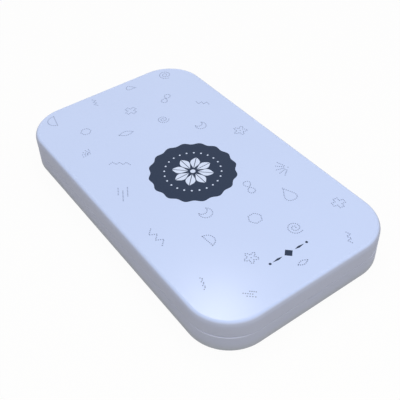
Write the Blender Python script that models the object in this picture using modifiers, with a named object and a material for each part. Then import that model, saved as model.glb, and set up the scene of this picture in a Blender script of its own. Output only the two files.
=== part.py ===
"""A flat rectangular tin with a hinged lid: a pressed base, a pressed lid and the two wires they turn on.

Metres, +Z up. The origin is the middle of the tin's underside. X runs along the width, Y along the length, and
the hinges are on the +Y side. A section is a list of (inset, height) points on the outer face of the sheet: inset
is measured inwards from the tin's outline and height upwards from its underside.
"""

import math

import bmesh
import bpy
from mathutils import Matrix

# The closed tin, outside the sheet
LENGTH = 0.190
WIDTH = 0.110
HEIGHT = 0.020
CORNER_RADIUS = 0.023
SHEET = 0.0003

# The lid
LID_EDGE_RADIUS = 0.0027
CURL_BORE_RADIUS = 0.00025
CURL_TURN_DEGREES = 250

# The base
BASE_EDGE_RADIUS = 0.0008
SHOULDER_HEIGHT = 0.0099
SHOULDER_RADIUS = 0.0008
SHOULDER_MOST_SHARE = 0.75
NECK_HEIGHT = 0.0055
SEAM_GAP = 0.0003
NECK_CLEARANCE = 0.0003

# The bead pressed into the underside
BEAD_INSET = 0.0065
BEAD_WIDTH = 0.0024
BEAD_DEPTH = 0.0004

# The nail nick pressed into the base at the front
NICK_WIDTH = 0.0105
NICK_HEIGHT = 0.0026
NICK_DEPTH = 0.0006

# The two hinges
HINGE_CORNER_MARGIN = 0.0028
PIN_RADIUS = 0.0006
PIN_CLEARANCE = 0.0002
PIN_END_BEVEL = 0.00015
PIN_OVERHANG = 0.0003
BASE_KNUCKLE_WIDTH = 0.004
LID_KNUCKLE_WIDTH = 0.006
KNUCKLE_GAP = 0.0002
KNUCKLE_TURN_DEGREES = 295
TONGUE_LENGTH = 0.0026
TONGUE_PROUD = 0.00005
NOTCH_CLEARANCE = 0.0002
NOTCH_SIDE_GAP = 0.0003
WINDOW_SIDE_GAP = 0.0001

# How finely curves are divided
CORNER_STEPS = 10
EDGE_STEPS = 6
SMALL_EDGE_STEPS = 3
CURL_STEPS = 8
KNUCKLE_STEPS = 14
NICK_STEPS = 4
PIN_SIDES = 16

CUTTER_OVERRUN = 0.001
MERGE_DISTANCE = 0.000001

# Sizes that follow from those above
CURL_RADIUS = CURL_BORE_RADIUS + SHEET
RIM_HEIGHT = SHOULDER_HEIGHT + SEAM_GAP
NECK_INSET = 2 * CURL_RADIUS + NECK_CLEARANCE
NECK_TOP = SHOULDER_HEIGHT + NECK_HEIGHT
SHOULDER_ROUND = min(SHOULDER_RADIUS, NECK_INSET * SHOULDER_MOST_SHARE)
KNUCKLE_BORE_RADIUS = PIN_RADIUS + PIN_CLEARANCE
KNUCKLE_RADIUS = KNUCKLE_BORE_RADIUS + SHEET
NOTCH_RADIUS = KNUCKLE_RADIUS + NOTCH_CLEARANCE
AXIS_Y = LENGTH / 2 + TONGUE_PROUD + KNUCKLE_BORE_RADIUS
AXIS_Z = SHOULDER_HEIGHT + SEAM_GAP / 2
BASE_KNUCKLE_OFFSET = (LID_KNUCKLE_WIDTH + BASE_KNUCKLE_WIDTH) / 2 + KNUCKLE_GAP
HINGE_WIDTH = LID_KNUCKLE_WIDTH + 2 * (BASE_KNUCKLE_WIDTH + KNUCKLE_GAP)
HINGE_X = WIDTH / 2 - CORNER_RADIUS - HINGE_CORNER_MARGIN - HINGE_WIDTH / 2
HINGE_CENTRES = (-HINGE_X, HINGE_X)


def clear_scene():
    for thing in list(bpy.data.objects):
        bpy.data.objects.remove(thing, do_unlink=True)


def new_collection(name):
    collection = bpy.data.collections.new(name)
    bpy.context.scene.collection.children.link(collection)
    return collection


def new_material(name, colour, roughness, metallic):
    material = bpy.data.materials.new(name)
    material.use_nodes = True
    shader = material.node_tree.nodes["Principled BSDF"]
    shader.inputs["Base Color"].default_value = (*colour, 1)
    shader.inputs["Roughness"].default_value = roughness
    shader.inputs["Metallic"].default_value = metallic
    return material


def object_from(bm, name, collection, material=None):
    mesh = bpy.data.meshes.new(name)
    bm.to_mesh(mesh)
    bm.free()
    made = bpy.data.objects.new(name, mesh)
    collection.objects.link(made)
    if material:
        mesh.materials.append(material)
        mesh.shade_smooth()
        mesh.set_sharp_from_angle(angle=math.radians(30))
    return made


def hide_cutter(cutter):
    cutter.hide_render = True
    cutter.display_type = "WIRE"
    return cutter


def add_boolean(target, other, operation):
    boolean = target.modifiers.new(f"{operation.lower()}_{other.name}", "BOOLEAN")
    boolean.operation = operation
    boolean.object = other
    return boolean


def add_sheet_thickness(target):
    solidify = target.modifiers.new("sheet", "SOLIDIFY")
    solidify.thickness = SHEET
    solidify.offset = -1
    solidify.use_even_offset = True


def arc(centre, radius, start, end, steps):
    """Points of a section's arc. Angles are in degrees: 0 is inwards and 90 is up."""
    points = []
    for step in range(steps + 1):
        angle = math.radians(start + (end - start) * step / steps)
        points.append((centre[0] + radius * math.cos(angle), centre[1] + radius * math.sin(angle)))
    return points


def lid_section():
    """From the edge of the top panel, over the rolled edge and down the skirt to the rim, curled inwards."""
    edge = arc((LID_EDGE_RADIUS, HEIGHT - LID_EDGE_RADIUS), LID_EDGE_RADIUS, 90, 180, EDGE_STEPS)
    curl = arc((CURL_RADIUS, RIM_HEIGHT + CURL_RADIUS), CURL_RADIUS, 180, 180 + CURL_TURN_DEGREES, CURL_STEPS)
    return edge + curl


def base_section():
    """From the panel inside the bead, out to the wall, up to the shoulder and the neck, to its curled rim."""
    bead = [
        (BEAD_INSET + BEAD_WIDTH, 0),
        (BEAD_INSET + BEAD_WIDTH * 3 / 4, BEAD_DEPTH),
        (BEAD_INSET + BEAD_WIDTH / 4, BEAD_DEPTH),
        (BEAD_INSET, 0),
    ]
    edge = arc((BASE_EDGE_RADIUS, BASE_EDGE_RADIUS), BASE_EDGE_RADIUS, 270, 180, SMALL_EDGE_STEPS)
    wall = [(0, SHOULDER_HEIGHT - NICK_HEIGHT)]
    shoulder_centre = (SHOULDER_ROUND, SHOULDER_HEIGHT - SHOULDER_ROUND)
    shoulder = arc(shoulder_centre, SHOULDER_ROUND, 180, 90, SMALL_EDGE_STEPS)
    fillet_radius = (NECK_INSET - SHOULDER_ROUND) / 2
    fillet = arc(
        (NECK_INSET - fillet_radius, SHOULDER_HEIGHT + fillet_radius), fillet_radius, 270, 360, SMALL_EDGE_STEPS - 1
    )
    curl_centre = (NECK_INSET + CURL_RADIUS, NECK_TOP - CURL_RADIUS)
    curl = arc(curl_centre, CURL_RADIUS, 180, 180 - CURL_TURN_DEGREES, CURL_STEPS)
    return bead + edge + wall + shoulder + fillet + curl


def extruded(bm, edges, step):
    """Draws the section on by one straight step and returns its new edges."""
    made = bmesh.ops.extrude_edge_only(bm, edges=edges)["geom"]
    verts = {item for item in made if isinstance(item, bmesh.types.BMVert)}
    bmesh.ops.translate(bm, vec=step, verts=list(verts))
    return [item for item in made if isinstance(item, bmesh.types.BMEdge) and verts.issuperset(item.verts)]


def turned(bm, edges, centre):
    """Draws the section on round one corner of the plan and returns its new edges."""
    verts = {vert for edge in edges for vert in edge.verts}
    made = bmesh.ops.spin(
        bm,
        geom=list(verts) + edges,
        cent=(*centre, 0),
        axis=(0, 0, 1),
        angle=math.pi / 2,
        steps=CORNER_STEPS,
    )
    return [item for item in made["geom_last"] if isinstance(item, bmesh.types.BMEdge)]


def swept_sheet(section, front_stops):
    """The section swept once round the tin's plan from the middle of the front, with its panel filled.

    front_stops are extra distances from the middle at which the front is divided.
    """
    x, y = WIDTH / 2 - CORNER_RADIUS, LENGTH / 2 - CORNER_RADIUS
    bm = bmesh.new()
    start = [bm.verts.new((0, inset - LENGTH / 2, height)) for inset, height in section]
    edges = [bm.edges.new(pair) for pair in zip(start, start[1:])]
    stops = [0, *front_stops, x]
    for near, far in zip(stops, stops[1:]):
        edges = extruded(bm, edges, (far - near, 0, 0))
    edges = turned(bm, edges, (x, -y))
    edges = extruded(bm, edges, (0, 2 * y, 0))
    edges = turned(bm, edges, (x, y))
    edges = extruded(bm, edges, (-2 * x, 0, 0))
    edges = turned(bm, edges, (-x, y))
    edges = extruded(bm, edges, (0, -2 * y, 0))
    edges = turned(bm, edges, (-x, -y))
    for far, near in reversed(list(zip(stops, stops[1:]))):
        edges = extruded(bm, edges, (near - far, 0, 0))
    bmesh.ops.remove_doubles(bm, verts=bm.verts, dist=MERGE_DISTANCE)
    panel_height = section[0][1]
    panel_ring = []
    for edge in bm.edges:
        if edge.is_boundary and all(abs(vert.co.z - panel_height) < MERGE_DISTANCE for vert in edge.verts):
            panel_ring.append(edge)
    panel = bmesh.ops.contextual_create(bm, geom=panel_ring)["faces"][0]
    bmesh.ops.recalc_face_normals(bm, faces=bm.faces)
    is_top = panel_height > SHOULDER_HEIGHT
    if (panel.normal.z > 0) != is_top:
        bmesh.ops.reverse_faces(bm, faces=bm.faces)
    return bm


def nick_stops():
    return [NICK_WIDTH / 2 * step / NICK_STEPS for step in range(1, NICK_STEPS + 1)]


def press_nick(bm):
    """Presses the front wall in under the seam: full depth at the middle and at the shoulder, fading outwards."""
    for vert in bm.verts:
        inset = vert.co.y + LENGTH / 2
        foot = SHOULDER_HEIGHT - NICK_HEIGHT
        across = abs(vert.co.x) / (NICK_WIDTH / 2)
        up = (vert.co.z - foot) / NICK_HEIGHT
        if inset < NECK_INSET and across < 1 and 0 < up < 1 + MERGE_DISTANCE:
            depth = NICK_DEPTH * (1 - across**4) * math.sin(min(up * 3 / 2, 1) * math.pi / 2)
            vert.co.y += depth * (1 - inset / NECK_INSET)


def knuckle(name, centre_x, width, direction, collection):
    """A tongue of sheet along the wall that curls outwards round the pin.

    direction is 1 for a tongue that comes up from the base and -1 for one that comes down from the lid.
    """
    section = [(-KNUCKLE_RADIUS, -direction * TONGUE_LENGTH)]
    for y, z in arc((0, 0), KNUCKLE_RADIUS, 180, 180 - KNUCKLE_TURN_DEGREES, KNUCKLE_STEPS):
        section.append((y, direction * z))
    bm = bmesh.new()
    start = [bm.verts.new((centre_x - width / 2, AXIS_Y + y, AXIS_Z + z)) for y, z in section]
    edges = [bm.edges.new(pair) for pair in zip(start, start[1:])]
    extruded(bm, edges, (width, 0, 0))
    bm.faces.ensure_lookup_table()
    bmesh.ops.recalc_face_normals(bm, faces=bm.faces)
    if bm.faces[0].calc_center_median().y < AXIS_Y and bm.faces[0].normal.y > 0:
        bmesh.ops.reverse_faces(bm, faces=bm.faces)
    made = hide_cutter(object_from(bm, name, collection))
    add_sheet_thickness(made)
    return made


def axis_cylinder(name, centre_x, width, radius, collection):
    """A cylinder on the hinge axis, which clears the room that the other leaf's knuckle turns in."""
    place = Matrix.Translation((centre_x, AXIS_Y, AXIS_Z)) @ Matrix.Rotation(math.pi / 2, 4, "Y")
    bm = bmesh.new()
    bmesh.ops.create_cone(
        bm, cap_ends=True, segments=2 * PIN_SIDES, radius1=radius, radius2=radius, depth=width, matrix=place
    )
    return hide_cutter(object_from(bm, name, collection))


def box_cutter(name, low, high, collection):
    middle = [(a + b) / 2 for a, b in zip(low, high)]
    size = [b - a for a, b in zip(low, high)]
    bm = bmesh.new()
    bmesh.ops.create_cube(bm, size=1, matrix=Matrix.Translation(middle) @ Matrix.Diagonal((*size, 1)))
    return hide_cutter(object_from(bm, name, collection))


def base_window(name, centre_x, collection):
    """The part of the shoulder and neck that a base tongue was cut from."""
    half = BASE_KNUCKLE_WIDTH / 2 + WINDOW_SIDE_GAP
    wall_y = LENGTH / 2
    low = (centre_x - half, wall_y - NECK_INSET - SHEET - CUTTER_OVERRUN, SHOULDER_HEIGHT - SHOULDER_ROUND)
    high = (centre_x + half, wall_y + CUTTER_OVERRUN, NECK_TOP - 3 * CURL_RADIUS)
    return box_cutter(name, low, high, collection)


def lid_window(name, centre_x, collection):
    """The part of the lid's curled rim that its tongue was cut from. It reaches a little into the skirt's back."""
    half = LID_KNUCKLE_WIDTH / 2 - WINDOW_SIDE_GAP
    wall_y = LENGTH / 2
    low = (centre_x - half, wall_y - 2 * CURL_RADIUS - CUTTER_OVERRUN, RIM_HEIGHT - CUTTER_OVERRUN)
    high = (centre_x + half, wall_y - SHEET + 2 * TONGUE_PROUD, RIM_HEIGHT + 2 * CURL_RADIUS + TONGUE_PROUD)
    return box_cutter(name, low, high, collection)


def cut_and_join_hinges(base, lid, collection):
    """Notches and windows are cut from both leaves first, then the knuckles are joined to them."""
    joins = []
    for side, hinge_x in zip(("left", "right"), HINGE_CENTRES):
        notch_width = LID_KNUCKLE_WIDTH + 2 * NOTCH_SIDE_GAP
        notch = axis_cylinder(f"base_notch_{side}", hinge_x, notch_width, NOTCH_RADIUS, collection)
        add_boolean(base, notch, "DIFFERENCE")
        add_boolean(lid, lid_window(f"lid_window_{side}", hinge_x, collection), "DIFFERENCE")
        joins.append((lid, knuckle(f"lid_knuckle_{side}", hinge_x, LID_KNUCKLE_WIDTH, -1, collection)))
        for end, way in (("inner", 1), ("outer", -1)):
            sign = way if hinge_x < 0 else -way
            x = hinge_x + sign * BASE_KNUCKLE_OFFSET
            tag = f"{side}_{end}"
            add_boolean(base, base_window(f"base_window_{tag}", x, collection), "DIFFERENCE")
            notch_width = BASE_KNUCKLE_WIDTH + 2 * NOTCH_SIDE_GAP
            notch = axis_cylinder(f"lid_notch_{tag}", x, notch_width, NOTCH_RADIUS, collection)
            add_boolean(lid, notch, "DIFFERENCE")
            joins.append((base, knuckle(f"base_knuckle_{tag}", x, BASE_KNUCKLE_WIDTH, 1, collection)))
    for leaf, tongue in joins:
        add_boolean(leaf, tongue, "UNION")


def make_pin(name, centre_x, collection, material):
    bpy.ops.mesh.primitive_cylinder_add(
        vertices=PIN_SIDES,
        radius=PIN_RADIUS,
        depth=HINGE_WIDTH + 2 * PIN_OVERHANG,
        location=(centre_x, AXIS_Y, AXIS_Z),
        rotation=(0, math.pi / 2, 0),
    )
    pin = bpy.context.object
    pin.name = name
    pin.data.name = name
    pin.data.materials.append(material)
    for holder in list(pin.users_collection):
        holder.objects.unlink(pin)
    collection.objects.link(pin)
    bevel = pin.modifiers.new("ends", "BEVEL")
    bevel.width = PIN_END_BEVEL
    bevel.segments = 1
    bevel.limit_method = "ANGLE"
    bevel.angle_limit = math.radians(60)
    pin.data.shade_smooth()
    pin.data.set_sharp_from_angle(angle=math.radians(30))
    return pin


def build():
    clear_scene()
    tin = new_collection("rectangular_tin")
    cutters = new_collection("cutters")
    cutters.hide_render = True
    paint = new_material("painted_tinplate", (0.56, 0.64, 0.88), 0.35, 0)
    wire = new_material("steel_wire", (0.62, 0.62, 0.63), 0.3, 1)

    bottom = swept_sheet(base_section(), nick_stops())
    press_nick(bottom)
    base = object_from(bottom, "base", tin, paint)
    add_sheet_thickness(base)

    lid = object_from(swept_sheet(lid_section(), []), "lid", tin, paint)
    add_sheet_thickness(lid)
    axis = bpy.data.objects.new("lid_hinge_axis", None)
    axis.location = (0, AXIS_Y, AXIS_Z)
    tin.objects.link(axis)
    lid.parent = axis
    lid.matrix_parent_inverse = Matrix.Translation(axis.location).inverted()

    cut_and_join_hinges(base, lid, cutters)
    for side, hinge_x in zip(("left", "right"), HINGE_CENTRES):
        make_pin(f"hinge_pin_{side}", hinge_x, tin, wire)


build()
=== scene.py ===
"""The looks of a flat rectangular keepsake tin with a hinged lid.

Metres, +Z up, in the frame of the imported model: the origin is the middle of the tin's underside,
X runs along its width and Y along its length, with the hinges on the +Y side. A section is a list
of (inset, height) points on the outer face of the sheet: inset is measured inwards from the tin's
outline and height upwards from its underside.
"""

import math
import random

import bmesh
import bpy
from mathutils import Matrix, Vector


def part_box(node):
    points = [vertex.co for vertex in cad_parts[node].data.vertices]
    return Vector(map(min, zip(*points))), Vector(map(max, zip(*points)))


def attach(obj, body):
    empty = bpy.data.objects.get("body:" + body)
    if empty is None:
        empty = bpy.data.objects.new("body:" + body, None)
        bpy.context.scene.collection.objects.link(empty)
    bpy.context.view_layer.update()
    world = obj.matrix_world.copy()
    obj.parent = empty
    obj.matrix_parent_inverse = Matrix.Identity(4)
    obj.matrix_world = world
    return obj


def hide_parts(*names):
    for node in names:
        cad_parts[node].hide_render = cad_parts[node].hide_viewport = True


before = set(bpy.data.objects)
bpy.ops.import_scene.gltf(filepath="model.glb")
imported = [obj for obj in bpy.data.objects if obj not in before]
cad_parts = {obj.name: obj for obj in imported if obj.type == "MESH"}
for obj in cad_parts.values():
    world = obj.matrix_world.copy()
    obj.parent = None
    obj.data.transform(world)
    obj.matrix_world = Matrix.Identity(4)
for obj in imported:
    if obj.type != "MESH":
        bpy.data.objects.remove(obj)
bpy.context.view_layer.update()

# The print on the lid lies on the paint in two thin layers of ink
PRINT_SUNK = 0.00001
PRINT_LAYER = 0.00002
PRINT_LAYERS = 2

# Sizes read from the frame. The top panel is lower than the solid lid's top by the print's layers
lid_low, lid_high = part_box("lid")
pin_low, pin_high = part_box("hinge_pin_right")
WIDTH = lid_high[0] - lid_low[0]
LENGTH = -2 * lid_low[1]
HEIGHT = lid_high[2] - PRINT_LAYERS * PRINT_LAYER
AXIS_Y = (pin_low[1] + pin_high[1]) / 2
AXIS_Z = (pin_low[2] + pin_high[2]) / 2
PIN_RADIUS = (pin_high[2] - pin_low[2]) / 2
PIN_LENGTH = pin_high[0] - pin_low[0]
HINGE_X = (pin_low[0] + pin_high[0]) / 2

# Sizes of the pressings
CORNER_RADIUS = 0.023
SHEET = 0.0003
LID_EDGE_INSET = 0.0021
LID_CREASE_RADIUS = 0.0006
LID_CREASE_TURN = math.radians(22)
LID_CURL_RADIUS = 0.0003
LID_CORNER_DRAW = 0.00035
LID_DRAW_HEIGHT = 0.0035
NECK_CURL_RADIUS = 0.00055
CURL_TURN = math.radians(250)
BASE_EDGE_RADIUS = 0.0008
SHOULDER_HEIGHT = 0.0099
SHOULDER_RADIUS = 0.0004
NECK_INSET = 0.0014
NECK_HEIGHT = 0.0055
SEAM_GAP = 0.00010
BEAD_INSET = 0.0065
BEAD_WIDTH = 0.0024
BEAD_DEPTH = 0.0004
NICK_WIDTH = 0.0105
NICK_HEIGHT = 0.0026
NICK_DEPTH = 0.0006
NICK_FULL_FROM = 2 / 3
RIM_HEIGHT = SHOULDER_HEIGHT + SEAM_GAP
NECK_TOP = SHOULDER_HEIGHT + NECK_HEIGHT
FILLET_RADIUS = (NECK_INSET - SHOULDER_RADIUS) / 2
LID_CREASE_SINE = math.sin(LID_CREASE_TURN)
LID_ROLL_RADIUS = (LID_EDGE_INSET - LID_CREASE_RADIUS * LID_CREASE_SINE) / (1 - LID_CREASE_SINE)
SHOULDER_FOOT = SHOULDER_HEIGHT - SHOULDER_RADIUS

# Sizes of the hinges
WIRE_END_ROUNDING = PIN_RADIUS / 3
KNUCKLE_BORE_RADIUS = 0.00078
KNUCKLE_TURN = math.radians(295)
BASE_KNUCKLE_WIDTH = 0.004
LID_KNUCKLE_WIDTH = 0.006
KNUCKLE_GAP = 0.0002
TONGUE_JOGGLE = 0.0002
NOTCH_HEIGHT = 0.00098
NOTCH_SIDE_GAP = 0.0003
NOTCH_INSET = 0.00045
NOTCH_TOP = AXIS_Z + NOTCH_HEIGHT
WINDOW_TOP = NECK_TOP - 3 * NECK_CURL_RADIUS

# How finely curves are divided
CORNER_STEPS = 22
EDGE_STEPS = 10
CREASE_STEPS = 4
SMALL_EDGE_STEPS = 6
DRAW_STEPS = 6
CURL_STEPS = 12
KNUCKLE_STEPS = 20
NICK_STEPS = 8
WIRE_SIDES = 32
WIRE_END_SEGMENTS = 3

# Flat faces keep their shading up to this far from a bend
BEND_MARGIN = 0.0006
MERGE_DISTANCE = 0.000001
SHARP_ANGLE = math.radians(32)

# The seal in the middle of the lid
SEAL_CENTRE = (-0.0010, -0.0008)
SEAL_RADIUS = 0.0231
SEAL_WAVE = 0.0006
SEAL_SCALLOPS = 16
SEAL_SIDES = SEAL_SCALLOPS * 14
PETALS = 8
PETAL_START = 0.0026
PETAL_END = 0.0112
PETAL_HALF_WIDTH = 0.0026
PETAL_VEIN = 0.0002
PETAL_FULLNESS = 1.2
PETAL_STEPS = 12
SEAL_HEART_RADIUS = 0.0014
SEAL_HEART_SIDES = 24
SEAL_BEADS = 24
SEAL_BEAD_RING = 0.0152
SEAL_BEAD_RADIUS = 0.0005
BEAD_SIDES = 12

# The ornament near the lid's front edge
RULE_PLACE = (0.0008, -0.0750)
RULE_START = 0.0038
RULE_END = 0.0098
RULE_HALF_WIDTH = 0.0006
RULE_DIAMOND = 0.0025
RULE_TIP_RADIUS = 0.0007

# The dotted marks scattered over the lid
MARK_SEED = 2098
MARK_COLUMNS = 3
MARK_ROW_PITCH = 0.0187
MARK_COLUMN_PITCH = 0.0272
MARK_JITTER = 0.0030
MARK_MARGIN = 0.0070
MARK_SEAL_CLEARANCE = 0.0070
MARK_RULE_CLEARANCE = 0.0080
MARK_SIZES = (0.0026, 0.0052)
DOT_RADIUS = 0.00033
DOT_PITCH = 0.0011
DOT_SIDES = 8

# How finely the marks' lines are divided before the dots are laid along them
LINE_STEPS = 48
FLOWER_STEPS = 80
SPIRAL_STEPS = 72
LOOP_STEPS = 64
LEAF_STEPS = 16

# The depths under the top panel between which its colour fades into the sides' over the roll, and
# those between which a share of it trails on down the skirt: painted light, a lighter band that
# stands in for the light falling on the upper part of the walls
FADE_START = 0.0001
FADE_END = 0.0013
PAINTED_SKIRT_LIGHT_SHARE = 0.10
PAINTED_SKIRT_LIGHT_START = 0.0008
PAINTED_SKIRT_LIGHT_END = 0.0045

# The sides turn greyer from this height down to their foot
FOOT_HEIGHT = 0.006

# The gloss of the paint. Clear varnish covers the top panel and ends this far below it, and the
# sides, without it, are duller
VARNISH_DROP = 0.0002
VARNISH_WEIGHT = 0.7
VARNISH_ROUGHNESS = 0.2
PAINT_GLOSS = 0.1
PAINT_ROUGHNESS_TOP = 0.17
PAINT_ROUGHNESS_SIDE = 0.50
PAINT_UNEVENNESS = 0.04
PAINT_UNEVENNESS_SIZE = 0.012

# The paint's mica and clouds, and the waves and the fine orange peel of its surface
MICA_SIZE = 0.0002
MICA_CONTRAST = 0.04
CLOUD_SIZE = 0.03
CLOUD_CONTRAST = 0.03
WAVE_SIZE = 0.045
WAVE_DEPTH = 0.00012
PEEL_SIZE = 0.0011
PEEL_SHARE = 0.02

# A painted highlight on the shoulder: a lighter colour for the light it catches under the seam,
# which along the straight sides also lightens the seam's shade. Its strength everywhere, at the
# corners and in patches
SHOULDER_HIGHLIGHT_EVERYWHERE = 0.08
SHOULDER_HIGHLIGHT_AT_CORNERS = 0.77
SHOULDER_HIGHLIGHT_PATCHES = 0.20
SHOULDER_HIGHLIGHT_PATCH_SIZE = 0.004

# The grain of the bare tinplate runs along the tin
TIN_GRAIN_SIZE = 0.0004
TIN_GRAIN_STRETCH = (1, 0.02, 1)
TIN_GRAIN_DEPTH = 0.000004
TIN_CLOUD_SIZE = 0.02
TIN_ROUGHNESS = 0.38
TIN_GRAIN_CONTRAST = 0.10
TIN_CLOUD_CONTRAST = 0.06

# The lines of the drawing die run along the wire
WIRE_LINE_SIZE = 0.00012
WIRE_LINE_STRETCH = (0.03, 1, 1)
WIRE_LINE_DEPTH = 0.000003
WIRE_ROUGHNESS = 0.26
WIRE_LINE_CONTRAST = 0.14

# The ink
INK_GLOSS = 0.25
INK_ROUGHNESS = 0.5
INK_MOTTLE_SIZE = 0.0006
INK_MOTTLE_CONTRAST = 0.12
INK_UNEVENNESS = 0.05
INK_UNEVENNESS_SIZE = 0.012

# Colours, as linear values
# The top's colour and the sides' are painted light: the top lighter and bluer and the sides darker
# and greyer, for the light from above that falls more on the top than on the walls
TOP_PAINT_WITH_PAINTED_LIGHT = (0.566, 0.666, 0.932)
SIDE_PAINT_WITH_PAINTED_SHADE = (0.403, 0.427, 0.527)
PAINT_FOOT = (0.385, 0.408, 0.451)
SEAL_NAVY = (0.010, 0.024, 0.060)
SEAL_PALE = (0.66, 0.74, 0.93)
MARK_GREY = (0.21, 0.26, 0.42)
# A lighter colour painted on the shoulder as a highlight
PAINTED_SHOULDER_HIGHLIGHT = (0.60, 0.63, 0.76)
BARE_TIN = (0.46, 0.46, 0.45)
STEEL_WIRE = (0.50, 0.50, 0.51)

# The studio
FLOOR_REACH = 40
FLOOR_GAP = 0.0001
FLOOR_COLOUR = (0.80, 0.78, 0.75)
FLOOR_ROUGHNESS = 0.8
FLOOR_WHITE = 0.94
WORLD_WHITE = 0.965
WORLD_LIGHT = 0.40

# The lamps: a wide one overhead, a small one whose sheen falls on the near corner, and weak ones in
# front and on the left. Each has its place, the point that it is turned towards, the side of its
# square and its power in watts
TIN_MIDDLE = (0, 0, 0)
NEAR_CORNER = (-0.05, -0.086, 0.02)
LEFT_WALL = (-0.055, 0.03, 0.01)
LAMPS = {
    "sheen_light": ((0.261, 0.342, 0.749), NEAR_CORNER, 0.10, 0.30),
    "top_light": ((0.12, 0.12, 1.3), TIN_MIDDLE, 1.2, 6.8),
    "right_light": ((0.53, -0.6, 0.6), NEAR_CORNER, 0.5, 0.9),
    "camera_light": ((-0.33, -0.62, 0.63), NEAR_CORNER, 0.3, 2.1),
    "left_light": ((-1.2, 0.8, 0.6), LEFT_WALL, 1.1, 1.5),
}

# The camera of the photograph
CAMERA_PLACE = Vector((-0.15069, -0.22551, 0.25640))
CAMERA_AIM = Vector((-0.00506, -0.01235, 0.01))
CAMERA_ROLL = math.radians(-2.33)
CAMERA_LENS = 60.97
CAMERA_SENSOR = 36
CAMERA_NEAR = 0.01

# A Mix node's sockets for colours, by number, because its other sockets have the same names
MIX_SHARE = 0
MIX_FIRST = 6
MIX_SECOND = 7
MIX_RESULT = 2


class Socket:
    """A socket's value. Arithmetic on it adds the Math nodes that work it out."""

    def __init__(self, nodes, output):
        self.nodes = nodes
        self.output = output

    def maths(self, operation, *others):
        return self.nodes.add("ShaderNodeMath", {"operation": operation}, [self, *others])

    def __add__(self, other):
        return self.maths("ADD", other)

    def __sub__(self, other):
        return self.maths("SUBTRACT", other)

    def __rsub__(self, other):
        return self.nodes.add("ShaderNodeMath", {"operation": "SUBTRACT"}, [other, self])

    def __mul__(self, other):
        return self.maths("MULTIPLY", other)

    __radd__ = __add__
    __rmul__ = __mul__

    def between(self, low, high):
        """0 below low, 1 above high and a smooth step from one to the other."""
        settings = {"interpolation_type": "SMOOTHSTEP", "clamp": True}
        return self.nodes.add("ShaderNodeMapRange", settings, [self, low, high, 0, 1])


class Nodes:
    """The nodes of a material or of the world."""

    def __init__(self, tree):
        self.tree = tree

    def add(self, kind, settings, values, output=0):
        """Adds a node. values are its sockets' values, in order or keyed by name or number."""
        node = self.tree.nodes.new(kind)
        for setting, value in settings.items():
            setattr(node, setting, value)
        named = values.items() if isinstance(values, dict) else enumerate(values)
        for socket, value in named:
            self.feed(node.inputs[socket], value)
        return Socket(self, node.outputs[output])

    def feed(self, socket, value):
        if isinstance(value, Socket):
            self.tree.links.new(value.output, socket)
        elif isinstance(value, tuple) and socket.type == "RGBA":
            socket.default_value = (*value, 1)
        else:
            socket.default_value = value

    def seen(self):
        """1 for the rays that see a thing, also in a mirror or through glass, and 0 for others."""
        rays = []
        for kind in ("Camera", "Glossy", "Transmission"):
            rays.append(self.add("ShaderNodeLightPath", {}, {}, output=f"Is {kind} Ray"))
        return rays[0].maths("MAXIMUM", rays[1]).maths("MAXIMUM", rays[2])


class Finish(Nodes):
    """A material, with its Principled shader and the nodes that feed it."""

    def __init__(self, name, **constants):
        self.material = bpy.data.materials.new(name)
        self.material.use_nodes = True
        super().__init__(self.material.node_tree)
        self.shader = self.tree.nodes["Principled BSDF"]
        for socket, value in constants.items():
            self.feed(self.shader.inputs[socket.replace("_", " ")], value)

    def place(self):
        """The point on the piece, in metres."""
        return self.add("ShaderNodeTexCoord", {}, {}, output="Object")

    def part_of(self, vector, axis):
        return self.add("ShaderNodeSeparateXYZ", {}, [vector], output=axis)

    def noise(self, feature, detail, stretch=(1, 1, 1)):
        """Cloudy noise from 0 to 1, with features of about the given size."""
        scaled = self.add("ShaderNodeMapping", {}, {"Vector": self.place(), "Scale": stretch})
        values = {"Vector": scaled, "Scale": 1 / feature, "Detail": detail}
        return self.add("ShaderNodeTexNoise", {}, values)

    def mixed(self, share, first, second):
        """The first colour where share is 0 and the second where it is 1."""
        sockets = {MIX_SHARE: share, MIX_FIRST: first, MIX_SECOND: second}
        return self.add("ShaderNodeMix", {"data_type": "RGBA"}, sockets, output=MIX_RESULT)

    def shaded(self, colour, shade):
        """The colour made lighter or darker by a number."""
        grey = self.add("ShaderNodeCombineXYZ", {}, [shade, shade, shade])
        return self.add("ShaderNodeVectorMath", {"operation": "MULTIPLY"}, [colour, grey])

    def bump(self, height, depth):
        """Feeds the shader's Normal with height, whose unit stands for depth."""
        bump = self.add("ShaderNodeBump", {}, {"Height": height, "Distance": depth})
        self.feed(self.shader.inputs["Normal"], bump)


def into_corners(finish, axis, reach):
    """0 up to where the corners begin, going out along an axis, and 1 from halfway into them."""
    out = finish.part_of(finish.place(), axis).maths("ABSOLUTE")
    return out.between(reach - CORNER_RADIUS, reach - CORNER_RADIUS / 2)


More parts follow.
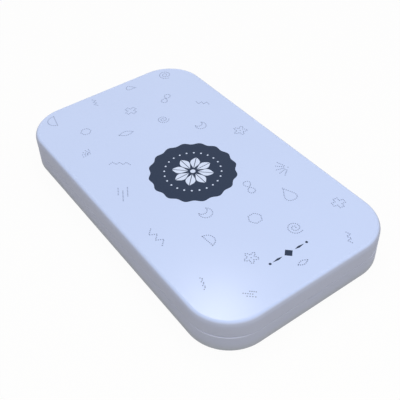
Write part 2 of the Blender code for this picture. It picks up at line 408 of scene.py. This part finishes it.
def painted_tinplate():
    """Satin pearl paint, duller down the sides and greyer towards their foot. Painted light: lighter
    and bluer on top, darker and greyer on the sides, with a painted highlight on the shoulder.
    """
    finish = Finish(
        "painted_tinplate", Specular_IOR_Level=PAINT_GLOSS, Coat_Roughness=VARNISH_ROUGHNESS
    )
    height = finish.part_of(finish.place(), "Z")
    on_roll = height.between(HEIGHT - FADE_END, HEIGHT - FADE_START)
    # Painted light: a share of the top's lighter colour trails down the upper skirt
    painted_skirt_light = height.between(HEIGHT - PAINTED_SKIRT_LIGHT_END, HEIGHT - PAINTED_SKIRT_LIGHT_START)
    painted_top_light_share = (1 - PAINTED_SKIRT_LIGHT_SHARE) * on_roll + PAINTED_SKIRT_LIGHT_SHARE * painted_skirt_light
    mica = finish.noise(MICA_SIZE, detail=0)
    cloud = finish.noise(CLOUD_SIZE, detail=2)
    shade = 1 + MICA_CONTRAST * (mica - 0.5) + CLOUD_CONTRAST * (cloud - 0.5)
    side = finish.mixed(height.between(0, FOOT_HEIGHT), PAINT_FOOT, SIDE_PAINT_WITH_PAINTED_SHADE)
    # Painted light and shade: the top's lighter, bluer colour fades over the roll into the sides'
    # darker grey
    tint = finish.mixed(painted_top_light_share, side, TOP_PAINT_WITH_PAINTED_LIGHT)
    painted = finish.shaded(tint, shade)
    # Painted highlight: the shoulder is painted lighter, most at the corners, for the light it
    # catches below the lid's rim
    above_wall = height.between(SHOULDER_FOOT, SHOULDER_HEIGHT - SHOULDER_RADIUS / 2)
    below_rim = 1 - height.between(SHOULDER_HEIGHT, RIM_HEIGHT)
    at_corner = into_corners(finish, "X", WIDTH / 2) * into_corners(finish, "Y", LENGTH / 2)
    highlight_patches = finish.noise(SHOULDER_HIGHLIGHT_PATCH_SIZE, detail=2)
    highlight_strength = SHOULDER_HIGHLIGHT_EVERYWHERE + SHOULDER_HIGHLIGHT_AT_CORNERS * at_corner + SHOULDER_HIGHLIGHT_PATCHES * highlight_patches
    painted_highlight = above_wall * below_rim * highlight_strength
    finish.feed(finish.shader.inputs["Base Color"], finish.mixed(painted_highlight, painted, PAINTED_SHOULDER_HIGHLIGHT))
    roughness = PAINT_ROUGHNESS_SIDE + (PAINT_ROUGHNESS_TOP - PAINT_ROUGHNESS_SIDE) * on_roll
    unevenness = PAINT_UNEVENNESS * finish.noise(PAINT_UNEVENNESS_SIZE, detail=3)
    finish.feed(finish.shader.inputs["Roughness"], roughness + unevenness)
    varnish = VARNISH_WEIGHT * height.between(HEIGHT - VARNISH_DROP, HEIGHT)
    finish.feed(finish.shader.inputs["Coat Weight"], varnish)
    waves = finish.noise(WAVE_SIZE, detail=0)
    finish.bump(waves + PEEL_SHARE * finish.noise(PEEL_SIZE, detail=1), WAVE_DEPTH)
    return finish.material


def bare_tinplate():
    """Unpainted tinplate with the fine grain of its rolling along the tin."""
    finish = Finish("bare_tinplate", Base_Color=BARE_TIN, Metallic=1.0)
    grain = finish.noise(TIN_GRAIN_SIZE, detail=3, stretch=TIN_GRAIN_STRETCH)
    cloud = finish.noise(TIN_CLOUD_SIZE, detail=3)
    roughness = TIN_ROUGHNESS + TIN_GRAIN_CONTRAST * grain + TIN_CLOUD_CONTRAST * cloud
    finish.feed(finish.shader.inputs["Roughness"], roughness)
    finish.bump(grain, TIN_GRAIN_DEPTH)
    return finish.material


def drawn_wire():
    """Steel wire with the fine lines of the drawing die along it."""
    finish = Finish("drawn_wire", Base_Color=STEEL_WIRE, Metallic=1.0)
    lines = finish.noise(WIRE_LINE_SIZE, detail=2, stretch=WIRE_LINE_STRETCH)
    finish.feed(finish.shader.inputs["Roughness"], WIRE_ROUGHNESS + WIRE_LINE_CONTRAST * lines)
    finish.bump(lines, WIRE_LINE_DEPTH)
    return finish.material


def printing_ink(name, colour):
    """Printing ink: even, with the slightest mottle."""
    finish = Finish(name, Specular_IOR_Level=INK_GLOSS)
    mottle = 1 + INK_MOTTLE_CONTRAST * (finish.noise(INK_MOTTLE_SIZE, detail=2) - 0.5)
    finish.feed(finish.shader.inputs["Base Color"], finish.shaded(colour, mottle))
    unevenness = INK_UNEVENNESS * finish.noise(INK_UNEVENNESS_SIZE, detail=3)
    finish.feed(finish.shader.inputs["Roughness"], INK_ROUGHNESS + unevenness)
    return finish.material


def shade_smooth(mesh):
    """Smooth shading, with the sharp edges kept."""
    mesh.shade_smooth()
    mesh.set_sharp_from_angle(angle=SHARP_ANGLE)


def object_from(bm, name, *materials):
    """Makes an object at the origin from a bmesh, with its place in its mesh."""
    mesh = bpy.data.meshes.new(name)
    bm.to_mesh(mesh)
    bm.free()
    made = bpy.data.objects.new(name, mesh)
    bpy.context.scene.collection.objects.link(made)
    for material in materials:
        mesh.materials.append(material)
    shade_smooth(mesh)
    return made


def arc(centre, radius, start, turn, steps):
    """Points of a section's arc. Its angles are 0 inwards and a quarter turn upwards."""
    points = []
    for step in range(steps + 1):
        angle = start + turn * step / steps
        points.append((centre[0] + radius * math.cos(angle), centre[1] + radius * math.sin(angle)))
    return points


def lid_section():
    """From the top panel over its crease, round the roll and down the skirt to its curled rim."""
    panel = [(LID_EDGE_INSET + BEND_MARGIN, HEIGHT)]
    crease_centre = (LID_EDGE_INSET, HEIGHT - LID_CREASE_RADIUS)
    crease = arc(crease_centre, LID_CREASE_RADIUS, math.pi / 2, LID_CREASE_TURN, CREASE_STEPS)
    roll_centre = (LID_ROLL_RADIUS, crease[-1][1] - LID_ROLL_RADIUS * math.cos(LID_CREASE_TURN))
    roll_start = math.pi / 2 + LID_CREASE_TURN
    roll = arc(roll_centre, LID_ROLL_RADIUS, roll_start, math.pi - roll_start, EDGE_STEPS)
    skirt = [(0, roll_centre[1] - BEND_MARGIN)]
    for step in range(DRAW_STEPS, 0, -1):
        skirt.append((0, NOTCH_TOP + LID_DRAW_HEIGHT * step / DRAW_STEPS))
    skirt.append((0, NOTCH_TOP))
    curl_centre = (LID_CURL_RADIUS, RIM_HEIGHT + LID_CURL_RADIUS)
    curl = arc(curl_centre, LID_CURL_RADIUS, math.pi, CURL_TURN, CURL_STEPS)
    return panel + crease + roll[1:] + skirt + curl


def base_section():
    """From the panel inside the bead to the wall, up to the shoulder and the neck's curled rim."""
    inner, outer = BEAD_INSET + BEAD_WIDTH, BEAD_INSET
    panel = [(inner + BEND_MARGIN, 0)]
    bead = []
    for step in range(EDGE_STEPS + 1):
        share = step / EDGE_STEPS
        bead.append((inner + (outer - inner) * share, BEAD_DEPTH * math.sin(math.pi * share) ** 2))
    ring = [(outer - BEND_MARGIN, 0), (BASE_EDGE_RADIUS + BEND_MARGIN, 0)]
    edge_centre = (BASE_EDGE_RADIUS, BASE_EDGE_RADIUS)
    edge = arc(edge_centre, BASE_EDGE_RADIUS, -math.pi / 2, -math.pi / 2, SMALL_EDGE_STEPS)
    wall = [(0, BASE_EDGE_RADIUS + BEND_MARGIN)]
    nick_foot = SHOULDER_HEIGHT - NICK_HEIGHT
    for step in range(NICK_STEPS):
        wall.append((0, nick_foot + (SHOULDER_FOOT - nick_foot) * step / NICK_STEPS))
    shoulder_centre = (SHOULDER_RADIUS, SHOULDER_FOOT)
    shoulder = arc(shoulder_centre, SHOULDER_RADIUS, math.pi, -math.pi / 2, SMALL_EDGE_STEPS)
    fillet_centre = (NECK_INSET - FILLET_RADIUS, SHOULDER_HEIGHT + FILLET_RADIUS)
    fillet = arc(fillet_centre, FILLET_RADIUS, -math.pi / 2, math.pi / 2, SMALL_EDGE_STEPS)
    neck = [(NECK_INSET, WINDOW_TOP)]
    curl_centre = (NECK_INSET + NECK_CURL_RADIUS, NECK_TOP - NECK_CURL_RADIUS)
    curl = arc(curl_centre, NECK_CURL_RADIUS, math.pi, -CURL_TURN, CURL_STEPS)
    return panel + bead + ring + edge + wall + shoulder + fillet + neck + curl


def extruded(bm, edges, step):
    """Draws edges on by one straight step and returns the new edges."""
    made = bmesh.ops.extrude_edge_only(bm, edges=edges)["geom"]
    verts = {item for item in made if isinstance(item, bmesh.types.BMVert)}
    bmesh.ops.translate(bm, vec=step, verts=list(verts))
    new_edges = [item for item in made if isinstance(item, bmesh.types.BMEdge)]
    return [edge for edge in new_edges if verts.issuperset(edge.verts)]


def turned(bm, edges, centre, axis, angle, steps):
    """Draws edges on round an axis and returns the new edges."""
    verts = {vert for edge in edges for vert in edge.verts}
    made = bmesh.ops.spin(
        bm, geom=list(verts) + edges, cent=centre, axis=axis, angle=angle, steps=steps
    )
    return [item for item in made["geom_last"] if isinstance(item, bmesh.types.BMEdge)]


def swept_sheet(section, front_stops, back_stops):
    """The section swept once round the tin from the middle of the front, with its panel filled.

    front_stops and back_stops are the distances from the middle at which those sides are divided.
    """
    x, y = WIDTH / 2 - CORNER_RADIUS, LENGTH / 2 - CORNER_RADIUS
    bm = bmesh.new()
    start = [bm.verts.new((0, inset - LENGTH / 2, height)) for inset, height in section]
    edges = [bm.edges.new(pair) for pair in zip(start, start[1:])]

    def run(edges, stops, direction):
        for near, far in zip(stops, stops[1:]):
            edges = extruded(bm, edges, Vector(direction) * (far - near))
        return edges

    def corner(edges, centre):
        return turned(bm, edges, (*centre, 0), (0, 0, 1), math.pi / 2, CORNER_STEPS)

    front = [0, *front_stops, x - BEND_MARGIN, x]
    side = [-y, BEND_MARGIN - y, y - BEND_MARGIN, y]
    half_back = [*back_stops, x - BEND_MARGIN, x]
    back = [-stop for stop in reversed(half_back)] + half_back
    edges = run(edges, front, (1, 0, 0))
    edges = corner(edges, (x, -y))
    edges = run(edges, side, (0, 1, 0))
    edges = corner(edges, (x, y))
    edges = run(edges, back, (-1, 0, 0))
    edges = corner(edges, (-x, y))
    edges = run(edges, side, (0, -1, 0))
    edges = corner(edges, (-x, -y))
    run(edges, [x - stop for stop in reversed(front)], (1, 0, 0))
    bmesh.ops.remove_doubles(bm, verts=bm.verts, dist=MERGE_DISTANCE)
    panel_height = section[0][1]
    ring = [edge for edge in bm.edges if edge.is_boundary and at_height(edge, panel_height)]
    panel = bmesh.ops.contextual_create(bm, geom=ring)["faces"][0]
    bmesh.ops.recalc_face_normals(bm, faces=bm.faces)
    if (panel.normal.z > 0) != (panel_height > SHOULDER_HEIGHT):
        bmesh.ops.reverse_faces(bm, faces=bm.faces)
    return bm


def at_height(edge, height):
    return all(abs(vert.co.z - height) < MERGE_DISTANCE for vert in edge.verts)


def draw_in_corners(bm):
    """Draws the lid's skirt in at the corners, most at the rim, where the shoulder peeps out."""
    for vert in bm.verts:
        past_x = abs(vert.co.x) - WIDTH / 2 + CORNER_RADIUS
        past_y = abs(vert.co.y) - LENGTH / 2 + CORNER_RADIUS
        up = (vert.co.z - RIM_HEIGHT) / (NOTCH_TOP + LID_DRAW_HEIGHT - RIM_HEIGHT)
        if past_x <= 0 or past_y <= 0 or up >= 1:
            continue
        # Full over most of the corner's arc and nothing at its two ends
        round_corner = math.atan2(past_y, past_x)
        share = (1 - math.cos(2 * round_corner) ** 4) * (1 - up) ** 2
        outwards = Vector((math.copysign(past_x, vert.co.x), math.copysign(past_y, vert.co.y), 0))
        vert.co -= outwards.normalized() * LID_CORNER_DRAW * share


def press_nick(bm):
    """Presses the nail nick into the front wall, deepest under the seam and fading all round."""
    for vert in bm.verts:
        inset = vert.co.y + LENGTH / 2
        across = abs(vert.co.x) / (NICK_WIDTH / 2)
        up = (vert.co.z - SHOULDER_HEIGHT + NICK_HEIGHT) / NICK_HEIGHT
        if inset < NECK_INSET and across < 1 and 0 < up < 1 + MERGE_DISTANCE:
            fade = (1 - across**4) * math.sin(min(up / NICK_FULL_FROM, 1) * math.pi / 2) ** 2
            vert.co.y += NICK_DEPTH * fade * (1 - inset / NECK_INSET)


def cut_out(bm, low_x, high_x, is_cut):
    """Deletes the back wall's faces between two places on X where is_cut(inset, height) holds."""
    found = []
    for face in bm.faces:
        middle = face.calc_center_median()
        inset = LENGTH / 2 - middle.y
        if low_x < middle.x < high_x and inset < BEAD_INSET and is_cut(inset, middle.z):
            found.append(face)
    bmesh.ops.delete(bm, geom=found, context="FACES")


def curl_tongue(bm, low_x, high_x, root_height, direction):
    """Draws the cut edge of the back wall into a tongue and curls it round the pin.

    direction is 1 for a tongue that comes up from the base and -1 for one down from the lid.
    """
    root = []
    for edge in bm.edges:
        middle = (edge.verts[0].co + edge.verts[1].co) / 2
        on_wall = abs(middle.y - LENGTH / 2) < MERGE_DISTANCE
        is_cut = edge.is_boundary and at_height(edge, root_height)
        if on_wall and is_cut and low_x < middle.x < high_x:
            root.append(edge)
    out = AXIS_Y - KNUCKLE_BORE_RADIUS - LENGTH / 2
    edges = extruded(bm, root, (0, out, direction * TONGUE_JOGGLE))
    edges = extruded(bm, edges, (0, 0, AXIS_Z - root_height - direction * TONGUE_JOGGLE))
    turned(bm, edges, (0, AXIS_Y, AXIS_Z), (1, 0, 0), -direction * KNUCKLE_TURN, KNUCKLE_STEPS)


def with_thickness(made):
    """Gives the sheet its thickness, inwards, with bare metal on its back and its cut edges."""
    solidify = made.modifiers.new("sheet", "SOLIDIFY")
    solidify.thickness = SHEET
    solidify.offset = -1
    solidify.use_even_offset = True
    solidify.material_offset = 1
    solidify.material_offset_rim = 1
    evaluated = made.evaluated_get(bpy.context.evaluated_depsgraph_get())
    mesh = bpy.data.meshes.new_from_object(evaluated)
    made.modifiers.clear()
    mesh.name = made.name
    shade_smooth(mesh)
    made.data = mesh
    return made


def lid_shell(paint, bare):
    """The lid. Each hinge has a tongue of its rim, between two notches for the base's knuckles."""
    half_tongue = LID_KNUCKLE_WIDTH / 2
    notch_end = half_tongue + BASE_KNUCKLE_WIDTH + KNUCKLE_GAP + NOTCH_SIDE_GAP
    offsets = (-notch_end, -half_tongue, half_tongue, notch_end)
    bm = swept_sheet(lid_section(), [], [HINGE_X + offset for offset in offsets])
    draw_in_corners(bm)
    root_height = RIM_HEIGHT + LID_CURL_RADIUS
    for hinge_x in (-HINGE_X, HINGE_X):
        low, high = hinge_x - half_tongue, hinge_x + half_tongue
        cut_out(bm, hinge_x - notch_end, low, lambda inset, z: z < NOTCH_TOP)
        cut_out(bm, high, hinge_x + notch_end, lambda inset, z: z < NOTCH_TOP)
        cut_out(bm, low, high, lambda inset, z: z < root_height or inset > SHEET and z < NOTCH_TOP)
        curl_tongue(bm, low, high, root_height, -1)
    return with_thickness(object_from(bm, "lid_shell", paint, bare))


def base_shell(paint, bare):
    """The base. Each hinge has two tongues of its wall, and between them a notch for the lid's."""
    inner_end = LID_KNUCKLE_WIDTH / 2 + KNUCKLE_GAP
    outer_end = inner_end + BASE_KNUCKLE_WIDTH
    offsets = (-outer_end, -inner_end, inner_end, outer_end)
    nick_stops = [NICK_WIDTH / 2 * step / NICK_STEPS for step in range(1, NICK_STEPS + 1)]
    bm = swept_sheet(base_section(), nick_stops, [HINGE_X + offset for offset in offsets])
    press_nick(bm)
    for hinge_x in (-HINGE_X, HINGE_X):
        for start, end in ((-outer_end, -inner_end), (inner_end, outer_end)):
            low, high = hinge_x + start, hinge_x + end
            cut_out(bm, low, high, lambda inset, z: SHOULDER_FOOT < z < WINDOW_TOP)
            curl_tongue(bm, low, high, SHOULDER_FOOT, 1)
        low, high = hinge_x - inner_end, hinge_x + inner_end
        cut_out(bm, low, high, lambda inset, z: z > SHOULDER_FOOT and inset < NOTCH_INSET)
    return with_thickness(object_from(bm, "base_shell", paint, bare))


def hinge_wire(name, centre_x, finish):
    """A length of wire with its ends rounded over."""
    bm = bmesh.new()
    place = Matrix.Translation((centre_x, AXIS_Y, AXIS_Z)) @ Matrix.Rotation(math.pi / 2, 4, "Y")
    bmesh.ops.create_cone(
        bm,
        cap_ends=True,
        segments=WIRE_SIDES,
        radius1=PIN_RADIUS,
        radius2=PIN_RADIUS,
        depth=PIN_LENGTH,
        matrix=place,
    )
    ends = []
    for edge in bm.edges:
        if abs(edge.verts[0].co.x - edge.verts[1].co.x) < MERGE_DISTANCE:
            ends.append(edge)
    bmesh.ops.bevel(
        bm,
        geom=ends,
        offset=WIRE_END_ROUNDING,
        affect="EDGES",
        segments=WIRE_END_SEGMENTS,
        profile=0.5,
        material=-1,
    )
    return object_from(bm, name, finish)


def add_slab(bm, outline, layer=0):
    """A thin slab of ink. Layer 0 lies on the paint, and layer 1 on layer 0."""
    top = HEIGHT + (layer + 1) * PRINT_LAYER
    face = bm.faces.new([bm.verts.new((x, y, top)) for x, y in outline])
    lower = bmesh.ops.extrude_face_region(bm, geom=[face])["geom"]
    sunk = [item for item in lower if isinstance(item, bmesh.types.BMVert)]
    bmesh.ops.translate(bm, vec=(0, 0, -PRINT_LAYER - PRINT_SUNK), verts=sunk)


def print_from(bm, name, ink):
    """Finishes a piece of print, which rides on the lid."""
    bmesh.ops.recalc_face_normals(bm, faces=bm.faces)
    made = object_from(bm, name, ink)
    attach(made, "lid")


def moved(points, turn, place):
    """The points turned about the origin and then moved to a place."""
    turned_points = []
    for x, y in points:
        turned_x = x * math.cos(turn) - y * math.sin(turn)
        turned_y = x * math.sin(turn) + y * math.cos(turn)
        turned_points.append((place[0] + turned_x, place[1] + turned_y))
    return turned_points


def polar(radius_at, start=0.0, sweep=math.tau, steps=LINE_STEPS):
    """Points of the curve whose distance from the origin is radius_at(angle)."""
    points = []
    for step in range(steps + 1):
        angle = start + sweep * step / steps
        points.append((radius_at(angle) * math.cos(angle), radius_at(angle) * math.sin(angle)))
    return points


def disc(radius, sides=DOT_SIDES):
    return polar(lambda angle: radius, steps=sides)[:-1]


def scalloped(angle):
    """The seal's radius towards an angle."""
    return SEAL_RADIUS + SEAL_WAVE * math.cos(SEAL_SCALLOPS * angle)


def printed_seal(navy, pale):
    """A round navy seal with a scalloped edge, and on it a pale rosette in a ring of beads."""
    ground = bmesh.new()
    add_slab(ground, moved(polar(scalloped, steps=SEAL_SIDES)[:-1], 0, SEAL_CENTRE))
    print_from(ground, "seal_ground", navy)

    rosette = bmesh.new()
    for petal in range(PETALS):
        turn = math.tau * petal / PETALS
        for side in (-1, 1):
            half = [(PETAL_START, side * PETAL_VEIN), (PETAL_END, side * PETAL_VEIN)]
            for step in range(PETAL_STEPS - 1, 0, -1):
                share = step / PETAL_STEPS
                along = PETAL_START + (PETAL_END - PETAL_START) * share
                width = (PETAL_HALF_WIDTH - PETAL_VEIN) * math.sin(math.pi * share**PETAL_FULLNESS)
                half.append((along, side * (PETAL_VEIN + width)))
            add_slab(rosette, moved(half, turn, SEAL_CENTRE), layer=1)
    add_slab(rosette, moved(disc(SEAL_HEART_RADIUS, SEAL_HEART_SIDES), 0, SEAL_CENTRE), layer=1)
    for bead in range(SEAL_BEADS):
        angle = math.tau * (bead + 0.5) / SEAL_BEADS
        place = moved([(SEAL_BEAD_RING, 0)], angle, SEAL_CENTRE)[0]
        add_slab(rosette, moved(disc(SEAL_BEAD_RADIUS, BEAD_SIDES), 0, place), layer=1)
    print_from(rosette, "seal_rosette", pale)


def printed_rule(navy):
    """A small ornament near the lid's front edge: a diamond, two tapered rules and two beads."""
    rule = bmesh.new()
    diamond = [(RULE_DIAMOND, 0), (0, RULE_DIAMOND), (-RULE_DIAMOND, 0), (0, -RULE_DIAMOND)]
    add_slab(rule, moved(diamond, 0, RULE_PLACE))
    for turn in (0, math.pi):
        taper = [(RULE_START, 0), (RULE_START + RULE_DIAMOND, RULE_HALF_WIDTH), (RULE_END, 0)]
        taper.append((RULE_START + RULE_DIAMOND, -RULE_HALF_WIDTH))
        add_slab(rule, moved(taper, turn, RULE_PLACE))
        place = moved([(RULE_END + 2 * RULE_TIP_RADIUS, 0)], turn, RULE_PLACE)[0]
        add_slab(rule, moved(disc(RULE_TIP_RADIUS, BEAD_SIDES), 0, place))
    print_from(rule, "front_rule", navy)


# The marks, as lists of lines round (0, 0) that reach out to about size. Numbers are shares of it
def hexagon(size):
    return [polar(lambda angle: size, steps=6)]


def wave(size):
    points = []
    for step in range(-10, 11):
        share = step / 8
        points.append((size * share, size / 3 * math.sin(math.tau * share)))
    return [points]


def zigzag(size):
    return [[(size * step / 2, size / 3 * (-1) ** step) for step in range(-2, 4)]]


def half_disc(size):
    bow = polar(lambda angle: size, sweep=math.pi)
    return [bow, [bow[-1], bow[0]]]


def flower(size):
    petals = polar(lambda angle: size * (0.74 + 0.26 * math.cos(5 * angle)), steps=FLOWER_STEPS)
    return [petals, [(0, 0)]]


def drop(size):
    points = []
    for step in range(LINE_STEPS + 1):
        angle = math.tau * step / LINE_STEPS
        points.append((size * math.sin(angle) * math.sin(angle / 2) ** 2, size * math.cos(angle)))
    return [points]


def spiral(size):
    sweep = math.tau * 1.9
    return [polar(lambda angle: size * (0.15 + 0.85 * angle / sweep), 0, sweep, SPIRAL_STEPS)]


def crescent(size):
    outer = polar(lambda angle: size, start=math.radians(50), sweep=math.radians(260))
    tip_x, tip_y = outer[0]
    inner_centre = size * 0.75
    inner_radius = math.dist((inner_centre, 0), (tip_x, tip_y))
    start = math.atan2(tip_y, tip_x - inner_centre)
    inner = polar(lambda angle: inner_radius, start=start, sweep=2 * (math.pi - start))
    return [outer, [(x + inner_centre, y) for x, y in inner[1:-1]]]


def leaf(size):
    sides = []
    for side in (-1, 1):
        bow = []
        for step in range(LEAF_STEPS + 1):
            share = step / LEAF_STEPS
            bow.append((size * (2 * share - 1), side * size * 0.45 * math.sin(math.pi * share)))
        sides.append(bow[1:] if side > 0 else bow)
    return sides


def bars(size):
    upper = [(-size, size / 2), (size / 3, size / 2)]
    middle = [(-size / 2, 0), (size, 0)]
    lower = [(-size, -size / 2), (0, -size / 2)]
    return [upper, middle, lower]


def fan(size):
    rays = [[(0, -size / 2)]]
    for ray in range(-2, 3):
        angle = math.pi / 2 + ray * math.radians(27)
        near, far = size / 2, size * 1.4
        start = (near * math.cos(angle), near * math.sin(angle) - size / 2)
        rays.append([start, (far * math.cos(angle), far * math.sin(angle) - size / 2)])
    return rays


def stairs(size):
    points = [(-size, -size / 2)]
    for step in range(3):
        points.append((points[-1][0], points[-1][1] + size / 2))
        points.append((points[-1][0] + size * 2 / 3, points[-1][1]))
    return [points]


def loops(size):
    points = []
    for step in range(LOOP_STEPS + 1):
        angle = math.tau * step / LOOP_STEPS
        reach = size * math.cos(angle) / (1 + math.sin(angle) ** 2)
        points.append((1.3 * reach, 1.5 * reach * math.sin(angle)))
    return [points]


def greek_cross(size):
    arm = size * 0.36
    quarter = [(size, -arm), (size, arm), (arm, arm)]
    points = []
    for turn in range(4):
        points += moved(quarter, turn * math.pi / 2, (0, 0))
    return [[*points, points[0]]]


MARKS = (
    hexagon, wave, half_disc, flower, drop, zigzag, spiral,
    crescent, leaf, bars, fan, stairs, loops, greek_cross,
)


def evenly_along(points, pitch):
    """Places at an even pitch along a line through points. A closed line has no place twice."""
    if len(points) == 1:
        return points
    total = sum(math.dist(*run) for run in zip(points, points[1:]))
    gaps = max(1, round(total / pitch))
    places = []
    passed = 0
    for start, end in zip(points, points[1:]):
        length = math.dist(start, end)
        while len(places) <= gaps and total * len(places) / gaps <= passed + length + MERGE_DISTANCE:
            share = (total * len(places) / gaps - passed) / length
            places.append(Vector(start).lerp(Vector(end), share))
        passed += length
    closed = math.dist(points[0], points[-1]) < MERGE_DISTANCE
    return places[:-1] if closed else places


def on_panel(x, y):
    """Whether a mark at (x, y) stays clear of the lid's edge, the seal and the front rule."""
    reach_x = WIDTH / 2 - MARK_MARGIN
    reach_y = LENGTH / 2 - MARK_MARGIN
    corner = CORNER_RADIUS - MARK_MARGIN / 2
    past_x = max(0, abs(x) - reach_x + corner)
    past_y = max(0, abs(y) - reach_y + corner)
    inside = abs(x) < reach_x and abs(y) < reach_y and math.hypot(past_x, past_y) < corner
    off_seal = math.dist((x, y), SEAL_CENTRE) > SEAL_RADIUS + MARK_SEAL_CLEARANCE
    beside_rule = abs(x - RULE_PLACE[0]) > RULE_END + MARK_RULE_CLEARANCE
    return inside and off_seal and (beside_rule or abs(y - RULE_PLACE[1]) > MARK_RULE_CLEARANCE)


def printed_marks(ink):
    """Small marks in dots, in staggered rows all over the lid. Every other row has one more."""
    chance = random.Random(MARK_SEED)
    marks = bmesh.new()
    deck = []
    rows = int(LENGTH / MARK_ROW_PITCH)
    for row in range(rows):
        columns = MARK_COLUMNS + row % 2
        for column in range(columns):
            x = (column - (columns - 1) / 2) * MARK_COLUMN_PITCH
            y = (row - (rows - 1) / 2) * MARK_ROW_PITCH
            x += chance.uniform(-MARK_JITTER, MARK_JITTER)
            y += chance.uniform(-MARK_JITTER, MARK_JITTER)
            if not on_panel(x, y):
                continue
            if not deck:
                deck = list(MARKS)
                chance.shuffle(deck)
            turn = chance.uniform(0, math.tau)
            for line in deck.pop()(chance.uniform(*MARK_SIZES)):
                for dot in evenly_along(line, DOT_PITCH):
                    place = moved([dot], turn, (x, y))[0]
                    add_slab(marks, moved(disc(DOT_RADIUS), 0, place))
    print_from(marks, "lid_marks", ink)


def studio_floor():
    """A pale table top, seen as near white, with the tin's soft shadow. From below it is clear."""
    bm = bmesh.new()
    bmesh.ops.create_grid(bm, x_segments=1, y_segments=1, size=FLOOR_REACH)
    bmesh.ops.translate(bm, vec=(0, 0, -FLOOR_GAP), verts=bm.verts)
    floor = object_from(bm, "studio_floor")
    finish = Finish("studio_floor", Base_Color=FLOOR_COLOUR, Roughness=FLOOR_ROUGHNESS)
    lit = Socket(finish, finish.shader.outputs["BSDF"])
    white = finish.add("ShaderNodeEmission", {}, {})
    top = finish.add("ShaderNodeMixShader", {}, [finish.seen() * FLOOR_WHITE, lit, white])
    below = finish.add("ShaderNodeNewGeometry", {}, {}, output="Backfacing")
    clear = finish.add("ShaderNodeBsdfTransparent", {}, {})
    surface = finish.add("ShaderNodeMixShader", {}, [below, top, clear])
    finish.feed(finish.tree.nodes["Material Output"].inputs["Surface"], surface)
    floor.data.materials.append(finish.material)


def studio_world():
    """Even white surroundings: as white as the far floor where they are seen, dimmer as light."""
    world = bpy.data.worlds.new("studio_world")
    world.use_nodes = True
    nodes = Nodes(world.node_tree)
    background = nodes.tree.nodes["Background"]
    nodes.feed(background.inputs["Color"], (1.0, 1.0, 1.0))
    strength = WORLD_LIGHT + (WORLD_WHITE - WORLD_LIGHT) * nodes.seen()
    nodes.feed(background.inputs["Strength"], strength)
    bpy.context.scene.world = world


def soft_box(name, place, aim, side, power):
    """A square lamp of the given side, turned towards aim."""
    light = bpy.data.lights.new(name, "AREA")
    light.size = side
    light.energy = power
    lamp = bpy.data.objects.new(name, light)
    lamp.location = place
    lamp.rotation_euler = (Vector(aim) - Vector(place)).to_track_quat("-Z", "Y").to_euler()
    bpy.context.scene.collection.objects.link(lamp)


def studio_lamps():
    for name, (place, aim, side, power) in LAMPS.items():
        soft_box(name, place, aim, side, power)


def photo_camera():
    camera = bpy.data.cameras.new("photo_camera")
    camera.lens = CAMERA_LENS
    camera.sensor_width = CAMERA_SENSOR
    camera.clip_start = CAMERA_NEAR
    holder = bpy.data.objects.new("photo_camera", camera)
    aimed = (CAMERA_AIM - CAMERA_PLACE).to_track_quat("-Z", "Y").to_matrix().to_4x4()
    rolled = aimed @ Matrix.Rotation(CAMERA_ROLL, 4, "Z")
    holder.matrix_world = Matrix.Translation(CAMERA_PLACE) @ rolled
    bpy.context.scene.collection.objects.link(holder)
    bpy.context.scene.camera = holder


def dress_tin():
    paint = painted_tinplate()
    bare = bare_tinplate()
    wire = drawn_wire()
    navy = printing_ink("navy_ink", SEAL_NAVY)

    base = base_shell(paint, bare)
    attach(base, "base")
    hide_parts("base")
    lid = lid_shell(paint, bare)
    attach(lid, "lid")
    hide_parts("lid")
    for side, x in (("left", -HINGE_X), ("right", HINGE_X)):
        pin = hinge_wire(f"hinge_wire_{side}", x, wire)
        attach(pin, "base")
        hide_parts(f"hinge_pin_{side}")
    printed_seal(navy, printing_ink("pale_ink", SEAL_PALE))
    printed_rule(navy)
    printed_marks(printing_ink("grey_ink", MARK_GREY))


bpy.context.scene.view_settings.view_transform = "Standard"
dress_tin()
studio_floor()
studio_world()
studio_lamps()
photo_camera()
